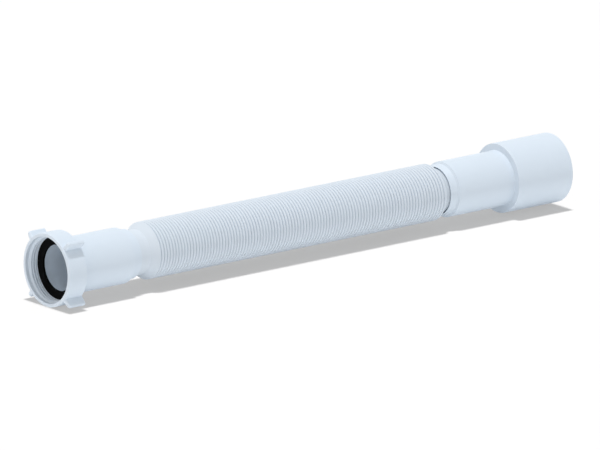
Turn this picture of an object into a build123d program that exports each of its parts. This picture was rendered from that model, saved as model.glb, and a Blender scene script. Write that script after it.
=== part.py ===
from build123d import *
import os

# Corrugated waste connector: a concertina hose between a union nut inlet and a stepped outlet.
# Millimetres. The waterway runs along +X from the nut to the outlet, +Z is up, and the origin is
# the centre of the nut's open face.

# Pipe sizes that both fittings share
pipe_diameter = 40.0
pipe_wall = 2.0

# Union nut
nut_length = 15.6
nut_wall = 2.4
nut_back_wall = 1.5
nut_play = 0.2
nut_running_clearance = 0.25
seat_step = 0.3
nut_edge_radius = 0.5

# Finger lugs round the nut
lug_count = 4
lug_angle = 44.1
lug_height = 6.15
lug_base_thickness = 3.8
lug_tip_thickness = 3.2
lug_rounding = 0.38
lug_front_setback = 0.6
lug_front_slope = 1.3
lug_corner_radius = 1.8

# Sealing washer
washer_bore = 33.0
washer_thickness = 1.7

# Inlet tail
flange_thickness = 2.5
flange_height = 3.2
flange_clearance = 0.4
sleeve_length = 49.5
neck_shoulder = 1.6
neck_length = 5.9
neck_wall = 1.5
tail_fit = 0.3

# Corrugated hose
cuff_wall = 1.2
collar_thickness = 2.0
collar_play = 0.2
collar_clearance = 0.2
collar_overlap = 0.7
inlet_neck = 9.1
outlet_neck = 1.7
cone_length = 5.3
corrugation_count = 99
corrugation_pitch = 2.597
corrugation_rise = 4.5
corrugation_depth = 3.0
corrugation_wall = 0.45

# Outlet spigot
mouth_gap = 1.1
mouth_edge = 0.2
lip_length = 6.3
lip_shoulder_height = 1.5
lip_shoulder_length = 1.0
spigot_length = 49.9
outlet_length = 49.0
outlet_step = 5.0
outlet_wall = 2.2
outlet_edge_radius = 0.4
shoulder_fillet = 0.5

# Radii, worked outwards and inwards from the pipe
pipe_radius = pipe_diameter / 2
pipe_bore_radius = pipe_radius - pipe_wall
flange_radius = pipe_radius + flange_height
seat_radius = flange_radius + flange_clearance
thread_radius = seat_radius + seat_step
nut_radius = thread_radius + nut_wall
nut_hole_radius = pipe_radius + nut_running_clearance
lug_tip = nut_radius + lug_height
lug_edge_radius = lug_rounding * lug_tip_thickness
collar_radius = pipe_bore_radius - collar_clearance
mouth_radius = collar_radius - collar_overlap
cuff_radius = mouth_radius - mouth_gap
cuff_bore_radius = cuff_radius - cuff_wall
tail_hole_radius = cuff_radius + tail_fit
neck_radius = tail_hole_radius + neck_wall
crest_radius = cuff_radius + corrugation_rise
outlet_radius = pipe_radius + outlet_step

# Stations along the axis, from the nut's open face
flange_back = nut_length - nut_back_wall - nut_play
flange_front = flange_back - flange_thickness
washer_front = flange_front - washer_thickness
thread_end = washer_front - nut_play
sleeve_end = flange_back + sleeve_length
neck_start = sleeve_end + neck_shoulder
tail_end = neck_start + neck_length
inlet_cone_start = tail_end + inlet_neck
corrugation_start = inlet_cone_start + cone_length
corrugation_end = corrugation_start + corrugation_count * corrugation_pitch
outlet_cone_end = corrugation_end + cone_length
mouth_face = outlet_cone_end + outlet_neck
lip_end = mouth_face + lip_length
shoulder = lip_end + spigot_length
outlet_end = shoulder + outlet_length


def revolved(points):
    """Turn a closed outline of (station, radius) points round the waterway's axis."""
    with BuildSketch(Plane.XY) as outline:
        with BuildLine():
            Polyline(*points, close=True)
        make_face()
    revolve(outline.sketch, axis=Axis.X)


# One finger lug, pointing up, sunk to half the nut's wall: narrower at its tip, with a sloped front
# and a rounded edge
lug_root = nut_radius - nut_wall / 2
with BuildPart() as lug:
    with BuildSketch(Plane.YZ):
        with BuildLine():
            Polyline(
                (-lug_base_thickness / 2, lug_root),
                (lug_base_thickness / 2, lug_root),
                (lug_tip_thickness / 2, lug_tip),
                (-lug_tip_thickness / 2, lug_tip),
                close=True,
            )
        make_face()
    extrude(amount=nut_length)
    with BuildSketch(Plane.XZ):
        with BuildLine():
            Polyline(
                (lug_front_setback, lug_root),
                (nut_length, lug_root),
                (nut_length, lug_tip),
                (lug_front_setback + lug_front_slope, lug_tip),
                close=True,
            )
        make_face()
        fillet(vertices().group_by(Axis.Y)[-1].sort_by(Axis.X)[0], radius=lug_corner_radius)
    extrude(amount=lug_base_thickness, both=True, mode=Mode.INTERSECT)
    flanks = faces().sort_by(Axis.Y)
    flank_edges = flanks[0].edges() + flanks[-1].edges()
    root_and_back_edges = flank_edges.group_by(Axis.Z)[0] + flank_edges.group_by(Axis.X)[-1]
    fillet(flank_edges - root_and_back_edges, radius=lug_edge_radius)

# Union nut: plain where its thread is cut, with a seat behind it that holds the flange and washer
with BuildPart() as union_nut:
    revolved(
        [
            (0, thread_radius),
            (0, nut_radius),
            (nut_length, nut_radius),
            (nut_length, nut_hole_radius),
            (nut_length - nut_back_wall, nut_hole_radius),
            (nut_length - nut_back_wall, seat_radius),
            (thread_end, seat_radius),
            (thread_end, thread_radius),
        ]
    )
    rims = edges().filter_by(GeomType.CIRCLE).group_by(SortBy.RADIUS)[-1]
    fillet(rims, radius=nut_edge_radius)
    for k in range(lug_count):
        add(lug.part, rotation=(lug_angle + 360 * k / lug_count, 0, 0))
union_nut.part.label = "union_nut"

# Flat rubber washer, lying on the front of the tail's flange
with BuildPart() as sealing_washer:
    revolved(
        [
            (washer_front, washer_bore / 2),
            (washer_front, flange_radius),
            (flange_front, flange_radius),
            (flange_front, washer_bore / 2),
        ]
    )
sealing_washer.part.label = "sealing_washer"

# Inlet tail: the flange that the nut pulls on, a plain sleeve, and a narrower neck for the hose
with BuildPart() as inlet_tail:
    revolved(
        [
            (flange_front, pipe_bore_radius),
            (flange_front, flange_radius),
            (flange_back, flange_radius),
            (flange_back, pipe_radius),
            (sleeve_end, pipe_radius),
            (neck_start, neck_radius),
            (tail_end, neck_radius),
            (tail_end, tail_hole_radius),
            (sleeve_end, tail_hole_radius),
            (sleeve_end, pipe_bore_radius),
        ]
    )
inlet_tail.part.label = "inlet_tail"

# Corrugated hose: one thin wall folded into rings, with a plain cuff and a snap collar at each end
flank_length = ((corrugation_pitch / 2) ** 2 + corrugation_depth**2) ** 0.5
fold_wall = corrugation_wall * flank_length / (corrugation_pitch / 2)


def folds(crest):
    """Crest and root points of the rings, for a wall whose crests lie at the given radius."""
    points = [(corrugation_start, crest)]
    for k in range(corrugation_count):
        ring_start = corrugation_start + k * corrugation_pitch
        points.append((ring_start + corrugation_pitch / 2, crest - corrugation_depth))
        points.append((ring_start + corrugation_pitch, crest))
    return points


inlet_collar_end = sleeve_end - collar_play
inlet_collar_start = inlet_collar_end - collar_thickness
outlet_collar_start = lip_end + collar_play
outlet_collar_end = outlet_collar_start + collar_thickness
with BuildPart() as corrugated_hose:
    revolved(
        [
            (inlet_collar_start, cuff_bore_radius),
            (inlet_collar_start, collar_radius),
            (inlet_collar_end, collar_radius),
            (inlet_collar_end, cuff_radius),
            (inlet_cone_start, cuff_radius),
            *folds(crest_radius),
            (outlet_cone_end, cuff_radius),
            (outlet_collar_start, cuff_radius),
            (outlet_collar_start, collar_radius),
            (outlet_collar_end, collar_radius),
            (outlet_collar_end, cuff_bore_radius),
            (outlet_cone_end, cuff_bore_radius),
            *reversed(folds(crest_radius - fold_wall)),
            (inlet_cone_start, cuff_bore_radius),
        ]
    )
corrugated_hose.part.label = "corrugated_hose"

# Outlet spigot: a lip that the hose snaps behind, then the narrow and the wide push-fit pipes
with BuildPart() as outlet_spigot:
    with BuildSketch(Plane.XY):
        with BuildLine():
            Polyline(
                (mouth_face, mouth_radius),
                (mouth_face, mouth_radius + mouth_edge),
                (lip_end - lip_shoulder_length, pipe_radius - lip_shoulder_height),
                (lip_end, pipe_radius),
                (shoulder, pipe_radius),
                (shoulder, outlet_radius),
                (outlet_end, outlet_radius),
                (outlet_end, outlet_radius - outlet_wall),
                (shoulder + outlet_wall, outlet_radius - outlet_wall),
                (shoulder + outlet_wall, pipe_bore_radius),
                (lip_end, pipe_bore_radius),
                (lip_end, mouth_radius),
                close=True,
            )
        make_face()
        inner_corner = vertices().sort_by_distance((shoulder, pipe_radius))[0]
        fillet(inner_corner, radius=shoulder_fillet)
        outer_corner = vertices().sort_by_distance((shoulder, outlet_radius))[0]
        fillet(outer_corner, radius=outlet_edge_radius)
    revolve(axis=Axis.X)
outlet_spigot.part.label = "outlet_spigot"

os.makedirs("parts", exist_ok=True)
export_step(union_nut.part, "parts/union_nut.step")
export_step(sealing_washer.part, "parts/sealing_washer.step")
export_step(inlet_tail.part, "parts/inlet_tail.step")
export_step(corrugated_hose.part, "parts/corrugated_hose.step")
export_step(outlet_spigot.part, "parts/outlet_spigot.step")
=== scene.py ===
"""Looks of the corrugated waste connector: its finishes, the folded hose, the thread in the nut, the floors,
the light and the camera. Metres, in the frame of the solids: +X from the nut to the outlet, +Z up."""

from math import asin, cos, pi, radians, sin, tau

import bpy
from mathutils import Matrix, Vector


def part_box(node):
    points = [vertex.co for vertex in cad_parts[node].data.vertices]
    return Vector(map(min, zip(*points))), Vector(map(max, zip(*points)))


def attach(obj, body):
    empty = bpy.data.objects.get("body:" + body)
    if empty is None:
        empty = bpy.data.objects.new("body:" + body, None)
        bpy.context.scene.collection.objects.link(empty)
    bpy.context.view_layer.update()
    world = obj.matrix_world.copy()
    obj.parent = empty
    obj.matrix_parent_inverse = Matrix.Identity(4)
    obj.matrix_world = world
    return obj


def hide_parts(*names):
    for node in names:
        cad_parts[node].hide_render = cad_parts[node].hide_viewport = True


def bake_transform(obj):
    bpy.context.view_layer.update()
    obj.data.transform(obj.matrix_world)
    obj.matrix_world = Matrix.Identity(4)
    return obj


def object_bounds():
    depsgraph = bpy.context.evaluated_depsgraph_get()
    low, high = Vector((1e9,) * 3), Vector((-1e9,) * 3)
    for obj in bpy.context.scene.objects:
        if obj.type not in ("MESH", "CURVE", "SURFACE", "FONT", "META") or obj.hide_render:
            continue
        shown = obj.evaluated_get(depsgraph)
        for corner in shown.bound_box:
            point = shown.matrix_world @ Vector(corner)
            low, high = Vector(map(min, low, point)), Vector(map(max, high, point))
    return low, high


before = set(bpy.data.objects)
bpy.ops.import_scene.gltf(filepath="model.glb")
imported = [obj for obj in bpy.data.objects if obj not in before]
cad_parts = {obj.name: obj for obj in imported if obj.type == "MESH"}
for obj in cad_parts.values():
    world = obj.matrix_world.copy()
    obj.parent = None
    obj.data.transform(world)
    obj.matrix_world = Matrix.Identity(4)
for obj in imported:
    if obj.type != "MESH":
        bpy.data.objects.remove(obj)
cad_low, cad_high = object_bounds()

# Stations and radii that the solids give
washer_low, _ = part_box("sealing_washer")
_, tail_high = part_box("inlet_tail")
hose_low, hose_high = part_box("corrugated_hose")
outlet_low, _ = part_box("outlet_spigot")

# Hose: cuffs and snap collars
CUFF_RADIUS = 0.0160
CUFF_WALL = 0.0012
COLLAR_RADIUS = 0.0178
COLLAR_THICKNESS = 0.0020
INLET_NECK = 0.0091
OUTLET_NECK = 0.0017
CONE_LENGTH = 0.0053

# Hose: folds
FOLD_COUNT = 99
FOLD_DEPTH = 0.0030
FOLD_WALL = 0.0011
BEAD_WIDTH = 0.00228
BEAD_HEIGHT = 0.0013
BEAD_STEPS = 8
LINING_STEPS = 4
LINING_ROUNDING = 0.93
CORNER_EASE = 0.0003
CORNER_STEPS = 4
HOSE_SEGMENTS = 64
HOSE_SHARP_ANGLE = radians(75)

# Thread in the nut: 11 turns to the inch, with one crest placed where the photograph shows it
BORE_RADIUS = 0.0239
THREAD_PITCH = 0.0254 / 11
THREAD_DEPTH = 0.00148
THREAD_ROUNDING = 0.90
THREAD_FULLNESS = 2
THREAD_START = 0.0026
CHAMFER_LENGTH = 0.0017
CREST_STATION = 0.00373
CREST_BEARING = radians(-18.7)
THREAD_ROOT_COVER = 0.0004
WASHER_CLEARANCE = 0.0002
RUNOUT_LENGTH = 0.0008
THREAD_STEPS = 80
THREAD_SEGMENTS = 144
THREAD_SHARP_ANGLE = radians(60)

# Moulded surfaces: slow clouds in the colour and gloss, and a fine grain
CLOUD_DETAIL = 3.0
CLOUD_ROUGHNESS = 0.55
GRAIN_DETAIL = 4.0
GRAIN_ROUGHNESS = 0.6

# Camera, placed as in the photograph
CAMERA_AZIMUTH = radians(-38.74)
CAMERA_ELEVATION = radians(14.78)
CAMERA_LENS = 1200.0
SENSOR_WIDTH = 36.0
FRAME_WIDTH = 0.42203
AIM_STATION = 0.22645
AIM_DROP = 0.0046
CLIP_START = 0.1

# Light: an overhead lamp, and a sky whose colour rises by SKY_LEAN towards the nut and falls by it towards
# the outlet
LAMP_HEIGHT = 1.0
SUN_STRENGTH = 1.54
SUN_ANGLE = radians(3.5)
SUN_COLOUR = (0.98, 1.0, 1.025)
SKY_COLOUR = (0.549, 0.561, 0.575)
SKY_LEAN = (0.40, 0.33, 0.27)
BACKDROP_COLOUR = (1, 1, 1, 1)

# Floors: a white one for the light, and one with a lamp of its own for the shadow that the camera sees
FLOOR_SIZE = 8.0
FLOOR_SPACING = 0.00005
WHITE_FLOOR_COLOUR = (0.88, 0.88, 0.88, 1)
WHITE_FLOOR_GLOW = 0.12
SHADOW_FLOOR_COLOUR = (0.150, 0.148, 0.146, 1)
SHADOW_FLOOR_GLOW = 0.4135
SHADOW_LAMP_STRENGTH = 9.4
SHADOW_LAMP_ANGLE = radians(7.0)
SHADOW_LAMP_COLOUR = (1, 1, 1)


def turned_ring(outlines):
    """Vertices and faces of a ring round the X axis, from a closed outline of (station, radius) points at
    each bearing. An outline runs towards +X on the outside, so that the faces look outwards."""
    segments, count = len(outlines), len(outlines[0])
    vertices = []
    faces = []
    for k, outline in enumerate(outlines):
        bearing = tau * k / segments
        vertices += [(x, r * cos(bearing), r * sin(bearing)) for x, r in outline]
        here, there = k * count, (k + 1) % segments * count
        for j in range(count):
            after = (j + 1) % count
            faces.append((there + j, there + after, here + after, here + j))
    return vertices, faces


def new_piece(name, vertices, faces, sharp_angle):
    """A smooth-shaded mesh object, with edges sharper than the given angle kept crisp."""
    mesh = bpy.data.meshes.new(name)
    mesh.from_pydata(vertices, [], faces)
    mesh.validate()
    mesh.update()
    mesh.shade_smooth()
    mesh.set_sharp_from_angle(angle=sharp_angle)
    piece = bpy.data.objects.new(name, mesh)
    bpy.context.scene.collection.objects.link(piece)
    return piece


def rounded_wave(turn, rounding):
    """A triangle wave from 0 to 1 with rounded peaks: 1 at whole turns and 0 half-way between them."""
    return 0.5 + 0.5 * asin(rounding * cos(tau * turn)) / asin(rounding)


def outer_folds(start, end):
    """Points along the outside of the folds: round beads with a narrow groove between them."""
    crest = hose_high.y
    pitch = (end - start) / FOLD_COUNT
    points = []
    for fold in range(FOLD_COUNT + 1):
        middle = start + fold * pitch
        first_step = BEAD_STEPS // 2 if fold == 0 else 0
        last_step = BEAD_STEPS // 2 if fold == FOLD_COUNT else BEAD_STEPS
        for step in range(first_step, last_step + 1):
            lean = pi * (step / BEAD_STEPS - 0.5)
            radius = crest - BEAD_HEIGHT * (1 - cos(lean))
            points.append((middle + BEAD_WIDTH / 2 * sin(lean), radius))
        if fold < FOLD_COUNT:
            points.append((middle + pitch / 2, crest - FOLD_DEPTH))
    return points


def inner_folds(start, end):
    """Points along the inside of the folds: a rounded wave."""
    crest = hose_high.y - FOLD_WALL
    total = FOLD_COUNT * LINING_STEPS
    points = []
    for k in range(total + 1):
        wave = rounded_wave(k / LINING_STEPS, LINING_ROUNDING)
        points.append((start + (end - start) * k / total, crest - FOLD_DEPTH * (1 - wave)))
    return points


def eased(outline):
    """The outline with each corner between its two ends rounded off."""
    points = [outline[0]]
    for before, corner, after in zip(outline, outline[1:], outline[2:]):
        corner = Vector(corner)
        enter = corner + (Vector(before) - corner).normalized() * CORNER_EASE
        leave = corner + (Vector(after) - corner).normalized() * CORNER_EASE
        for step in range(CORNER_STEPS + 1):
            share = step / CORNER_STEPS
            point = enter.lerp(corner, share).lerp(corner.lerp(leave, share), share)
            points.append(tuple(point))
    return points + [outline[-1]]


def make_hose():
    """The folded hose, with a plain cuff and a snap collar at each end."""
    inlet_cone = tail_high.x + INLET_NECK
    folds_start = inlet_cone + CONE_LENGTH
    outlet_cone = outlet_low.x - OUTLET_NECK
    folds_end = outlet_cone - CONE_LENGTH
    cuff_bore = CUFF_RADIUS - CUFF_WALL
    inlet_collar_end = hose_low.x + COLLAR_THICKNESS
    outlet_collar_start = hose_high.x - COLLAR_THICKNESS
    folds = outer_folds(folds_start, folds_end)
    lining = inner_folds(folds_start, folds_end)
    inlet_end = [
        lining[0],
        (inlet_cone, cuff_bore),
        (hose_low.x, cuff_bore),
        (hose_low.x, COLLAR_RADIUS),
        (inlet_collar_end, COLLAR_RADIUS),
        (inlet_collar_end, CUFF_RADIUS),
        (inlet_cone, CUFF_RADIUS),
        folds[0],
        folds[1],
    ]
    outlet_end = [
        folds[-2],
        folds[-1],
        (outlet_cone, CUFF_RADIUS),
        (outlet_collar_start, CUFF_RADIUS),
        (outlet_collar_start, COLLAR_RADIUS),
        (hose_high.x, COLLAR_RADIUS),
        (hose_high.x, cuff_bore),
        (outlet_cone, cuff_bore),
        lining[-1],
    ]
    profile = eased(inlet_end) + folds[2:-2] + eased(outlet_end) + lining[-2:0:-1]
    vertices, faces = turned_ring([profile] * HOSE_SEGMENTS)
    hose = new_piece("folded_hose", vertices, faces, HOSE_SHARP_ANGLE)
    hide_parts("corrugated_hose")
    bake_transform(hose)
    return hose


def thread_radius(station, bearing, end):
    """Radius of the threaded bore: the ridges climb along a helix, start on a chamfer and run out."""
    turn = (station - CREST_STATION) / THREAD_PITCH - (bearing - CREST_BEARING) / tau
    ridge = THREAD_DEPTH * (1 - (1 - rounded_wave(turn, THREAD_ROUNDING)) ** THREAD_FULLNESS)
    chamfer = THREAD_DEPTH * (station - THREAD_START) / CHAMFER_LENGTH
    runout = THREAD_DEPTH * (1 - (end - station) / RUNOUT_LENGTH)
    return BORE_RADIUS - max(min(ridge, chamfer), runout)


def make_thread():
    """The thread's ridges, in a ring whose back is sunk in the nut's wall."""
    end = washer_low.x - WASHER_CLEARANCE
    stations = [THREAD_START + (end - THREAD_START) * k / THREAD_STEPS for k in range(THREAD_STEPS + 1)]
    back = BORE_RADIUS + THREAD_ROOT_COVER
    outlines = []
    for k in range(THREAD_SEGMENTS):
        bearing = tau * k / THREAD_SEGMENTS
        ridges = [(x, thread_radius(x, bearing, end)) for x in reversed(stations)]
        outlines.append([(THREAD_START, back), (end, back)] + ridges)
    vertices, faces = turned_ring(outlines)
    thread = new_piece("nut_thread", vertices, faces, THREAD_SHARP_ANGLE)
    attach(thread, "nut")
    return thread


def moulded_surface():
    """Node group for a moulded surface: faint clouding of the colour and gloss, and a fine grain."""
    group = bpy.data.node_groups.new("moulded_surface", "ShaderNodeTree")
    socket = group.interface.new_socket
    for name, kind in [
        ("Colour", "NodeSocketColor"),
        ("Cloud Colour", "NodeSocketColor"),
        ("Cloud Scale", "NodeSocketFloat"),
        ("Grain Scale", "NodeSocketFloat"),
        ("Roughness Low", "NodeSocketFloat"),
        ("Roughness High", "NodeSocketFloat"),
    ]:
        socket(name, in_out="INPUT", socket_type=kind)
    for name, kind in [
        ("Colour", "NodeSocketColor"),
        ("Roughness", "NodeSocketFloat"),
        ("Grain", "NodeSocketFloat"),
    ]:
        socket(name, in_out="OUTPUT", socket_type=kind)
    nodes, links = group.nodes, group.links
    given = nodes.new("NodeGroupInput")
    result = nodes.new("NodeGroupOutput")
    place = nodes.new("ShaderNodeTexCoord")

    clouds = nodes.new("ShaderNodeTexNoise")
    clouds.inputs["Detail"].default_value = CLOUD_DETAIL
    clouds.inputs["Roughness"].default_value = CLOUD_ROUGHNESS
    links.new(place.outputs["Object"], clouds.inputs["Vector"])
    links.new(given.outputs["Cloud Scale"], clouds.inputs["Scale"])
    tint = nodes.new("ShaderNodeMix")
    tint.data_type = "RGBA"
    links.new(clouds.outputs["Fac"], tint.inputs["Factor"])
    links.new(given.outputs["Colour"], tint.inputs["A"])
    links.new(given.outputs["Cloud Colour"], tint.inputs["B"])
    links.new(tint.outputs["Result"], result.inputs["Colour"])

    grain = nodes.new("ShaderNodeTexNoise")
    grain.inputs["Detail"].default_value = GRAIN_DETAIL
    grain.inputs["Roughness"].default_value = GRAIN_ROUGHNESS
    links.new(place.outputs["Object"], grain.inputs["Vector"])
    links.new(given.outputs["Grain Scale"], grain.inputs["Scale"])
    links.new(grain.outputs["Fac"], result.inputs["Grain"])

    gloss = nodes.new("ShaderNodeMapRange")
    links.new(clouds.outputs["Fac"], gloss.inputs["Value"])
    links.new(given.outputs["Roughness Low"], gloss.inputs["To Min"])
    links.new(given.outputs["Roughness High"], gloss.inputs["To Max"])
    links.new(gloss.outputs["Result"], result.inputs["Roughness"])
    return group


def moulded_material(name, group, values, specular, grain_strength, grain_height):
    """A material whose colour, gloss and grain come from the moulded surface."""
    material = bpy.data.materials.new(name)
    material.use_nodes = True
    nodes, links = material.node_tree.nodes, material.node_tree.links
    shader = nodes["Principled BSDF"]
    shader.inputs["Specular IOR Level"].default_value = specular
    surface = nodes.new("ShaderNodeGroup")
    surface.node_tree = group
    for socket, value in values.items():
        surface.inputs[socket].default_value = value
    bump = nodes.new("ShaderNodeBump")
    bump.inputs["Strength"].default_value = grain_strength
    bump.inputs["Distance"].default_value = grain_height
    links.new(surface.outputs["Colour"], shader.inputs["Base Color"])
    links.new(surface.outputs["Roughness"], shader.inputs["Roughness"])
    links.new(surface.outputs["Grain"], bump.inputs["Height"])
    links.new(bump.outputs["Normal"], shader.inputs["Normal"])
    return material


def dress(piece, material):
    """Give a piece one material all over."""
    piece.data.materials.clear()
    piece.data.materials.append(material)


def seen_directly(nodes, links):
    """1 for rays that show the backdrop itself: from the camera, in gloss or through a clear piece."""
    path = nodes.new("ShaderNodeLightPath")
    either = nodes.new("ShaderNodeMath")
    either.operation = "MAXIMUM"
    links.new(path.outputs["Is Camera Ray"], either.inputs[0])
    links.new(path.outputs["Is Glossy Ray"], either.inputs[1])
    any_of = nodes.new("ShaderNodeMath")
    any_of.operation = "MAXIMUM"
    links.new(either.outputs["Value"], any_of.inputs[0])
    links.new(path.outputs["Is Transmission Ray"], any_of.inputs[1])
    return any_of.outputs["Value"]


def floor_plane(name, height, colour, strength):
    """A level square of matt paint that also glows a little."""
    half = FLOOR_SIZE / 2
    corners = [(-half, -half, height), (half, -half, height), (half, half, height), (-half, half, height)]
    mesh = bpy.data.meshes.new(name)
    mesh.from_pydata(corners, [], [(0, 1, 2, 3)])
    plane = bpy.data.objects.new(name, mesh)
    bpy.context.scene.collection.objects.link(plane)
    material = bpy.data.materials.new(name)
    material.use_nodes = True
    nodes, links = material.node_tree.nodes, material.node_tree.links
    nodes.clear()
    paint = nodes.new("ShaderNodeBsdfDiffuse")
    paint.inputs["Color"].default_value = colour
    glow = nodes.new("ShaderNodeEmission")
    glow.inputs["Strength"].default_value = strength
    both = nodes.new("ShaderNodeAddShader")
    links.new(paint.outputs["BSDF"], both.inputs[0])
    links.new(glow.outputs["Emission"], both.inputs[1])
    output = nodes.new("ShaderNodeOutputMaterial")
    links.new(both.outputs["Shader"], output.inputs["Surface"])
    mesh.materials.append(material)
    return plane


def make_floors():
    """A white floor that lights the connector from below and shows in its gloss, and just over it a floor for
    the camera alone, which keeps the shadow as one even grey."""
    white_floor = floor_plane("white_floor", cad_low.z - FLOOR_SPACING, WHITE_FLOOR_COLOUR, WHITE_FLOOR_GLOW)
    white_floor.visible_camera = False
    shadow_floor = floor_plane("shadow_floor", cad_low.z, SHADOW_FLOOR_COLOUR, SHADOW_FLOOR_GLOW)
    shadow_floor.visible_diffuse = False
    shadow_floor.visible_glossy = False
    shadow_floor.visible_transmission = False
    shadow_floor.visible_shadow = False
    return shadow_floor


def overhead_lamp(name, strength, angle, colour):
    """A small lamp straight above the connector."""
    light = bpy.data.lights.new(name, "SUN")
    light.energy = strength
    light.angle = angle
    light.color = colour
    lamp = bpy.data.objects.new(name, light)
    lamp.location = (AIM_STATION, 0, LAMP_HEIGHT)
    bpy.context.scene.collection.objects.link(lamp)
    return lamp


def make_light(shadow_floor):
    """An overhead lamp, one like it for the shadow floor alone, and a soft sky, warmer and brighter on the
    nut's side."""
    overhead_lamp("overhead_lamp", SUN_STRENGTH, SUN_ANGLE, SUN_COLOUR)
    shadow_lamp = overhead_lamp("shadow_lamp", SHADOW_LAMP_STRENGTH, SHADOW_LAMP_ANGLE, SHADOW_LAMP_COLOUR)
    lit = bpy.data.collections.new("lit_by_shadow_lamp")
    lit.objects.link(shadow_floor)
    shadow_lamp.light_linking.receiver_collection = lit

    world = bpy.data.worlds.new("studio")
    bpy.context.scene.world = world
    world.use_nodes = True
    nodes, links = world.node_tree.nodes, world.node_tree.links
    sky = nodes["Background"]
    place = nodes.new("ShaderNodeTexCoord")
    along = nodes.new("ShaderNodeSeparateXYZ")
    links.new(place.outputs["Generated"], along.inputs["Vector"])
    side = nodes.new("ShaderNodeMapRange")
    side.inputs["From Min"].default_value = -1.0
    links.new(along.outputs["X"], side.inputs["Value"])
    glow = nodes.new("ShaderNodeMix")
    glow.data_type = "RGBA"
    glow.inputs["A"].default_value = [c * (1 + lean) for c, lean in zip(SKY_COLOUR, SKY_LEAN)] + [1]
    glow.inputs["B"].default_value = [c * (1 - lean) for c, lean in zip(SKY_COLOUR, SKY_LEAN)] + [1]
    links.new(side.outputs["Result"], glow.inputs["Factor"])
    shown = nodes.new("ShaderNodeMix")
    shown.data_type = "RGBA"
    shown.inputs["B"].default_value = BACKDROP_COLOUR
    links.new(seen_directly(nodes, links), shown.inputs["Factor"])
    links.new(glow.outputs["Result"], shown.inputs["A"])
    links.new(shown.outputs["Result"], sky.inputs["Color"])


def make_camera():
    """A long lens at the photograph's angle, so that the sides stay parallel as they do there."""
    back = Vector((
        sin(CAMERA_AZIMUTH) * cos(CAMERA_ELEVATION),
        -cos(CAMERA_AZIMUTH) * cos(CAMERA_ELEVATION),
        sin(CAMERA_ELEVATION),
    ))
    turn = (-back).to_track_quat("-Z", "Y")
    upwards = turn @ Vector((0, 1, 0))
    target = Vector((AIM_STATION, 0, 0)) - AIM_DROP * upwards
    data = bpy.data.cameras.new("camera")
    data.lens = CAMERA_LENS
    data.sensor_width = SENSOR_WIDTH
    distance = FRAME_WIDTH * CAMERA_LENS / SENSOR_WIDTH
    data.clip_start = CLIP_START
    data.clip_end = 2 * distance
    camera = bpy.data.objects.new("camera", data)
    camera.location = target + distance * back
    camera.rotation_mode = "QUATERNION"
    camera.rotation_quaternion = turn
    bpy.context.scene.collection.objects.link(camera)
    bpy.context.scene.camera = camera


surface = moulded_surface()
fitting_plastic = moulded_material(
    "fitting_plastic",
    surface,
    {
        "Colour": (0.720, 0.795, 0.873, 1),
        "Cloud Colour": (0.738, 0.812, 0.885, 1),
        "Cloud Scale": 45.0,
        "Grain Scale": 2600.0,
        "Roughness Low": 0.42,
        "Roughness High": 0.52,
    },
    specular=0.35,
    grain_strength=0.10,
    grain_height=0.00002,
)
hose_plastic = moulded_material(
    "hose_plastic",
    surface,
    {
        "Colour": (0.720, 0.780, 0.842, 1),
        "Cloud Colour": (0.738, 0.797, 0.856, 1),
        "Cloud Scale": 60.0,
        "Grain Scale": 3200.0,
        "Roughness Low": 0.45,
        "Roughness High": 0.55,
    },
    specular=0.30,
    grain_strength=0.10,
    grain_height=0.00002,
)
washer_rubber = moulded_material(
    "washer_rubber",
    surface,
    {
        "Colour": (0.002, 0.002, 0.002, 1),
        "Cloud Colour": (0.004, 0.004, 0.004, 1),
        "Cloud Scale": 160.0,
        "Grain Scale": 4200.0,
        "Roughness Low": 0.60,
        "Roughness High": 0.75,
    },
    specular=0.05,
    grain_strength=0.25,
    grain_height=0.00004,
)

for node in ("union_nut", "inlet_tail", "outlet_spigot"):
    dress(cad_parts[node], fitting_plastic)
dress(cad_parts["sealing_washer"], washer_rubber)
dress(make_hose(), hose_plastic)
dress(make_thread(), fitting_plastic)

make_light(make_floors())
make_camera()
bpy.context.scene.view_settings.view_transform = "Standard"
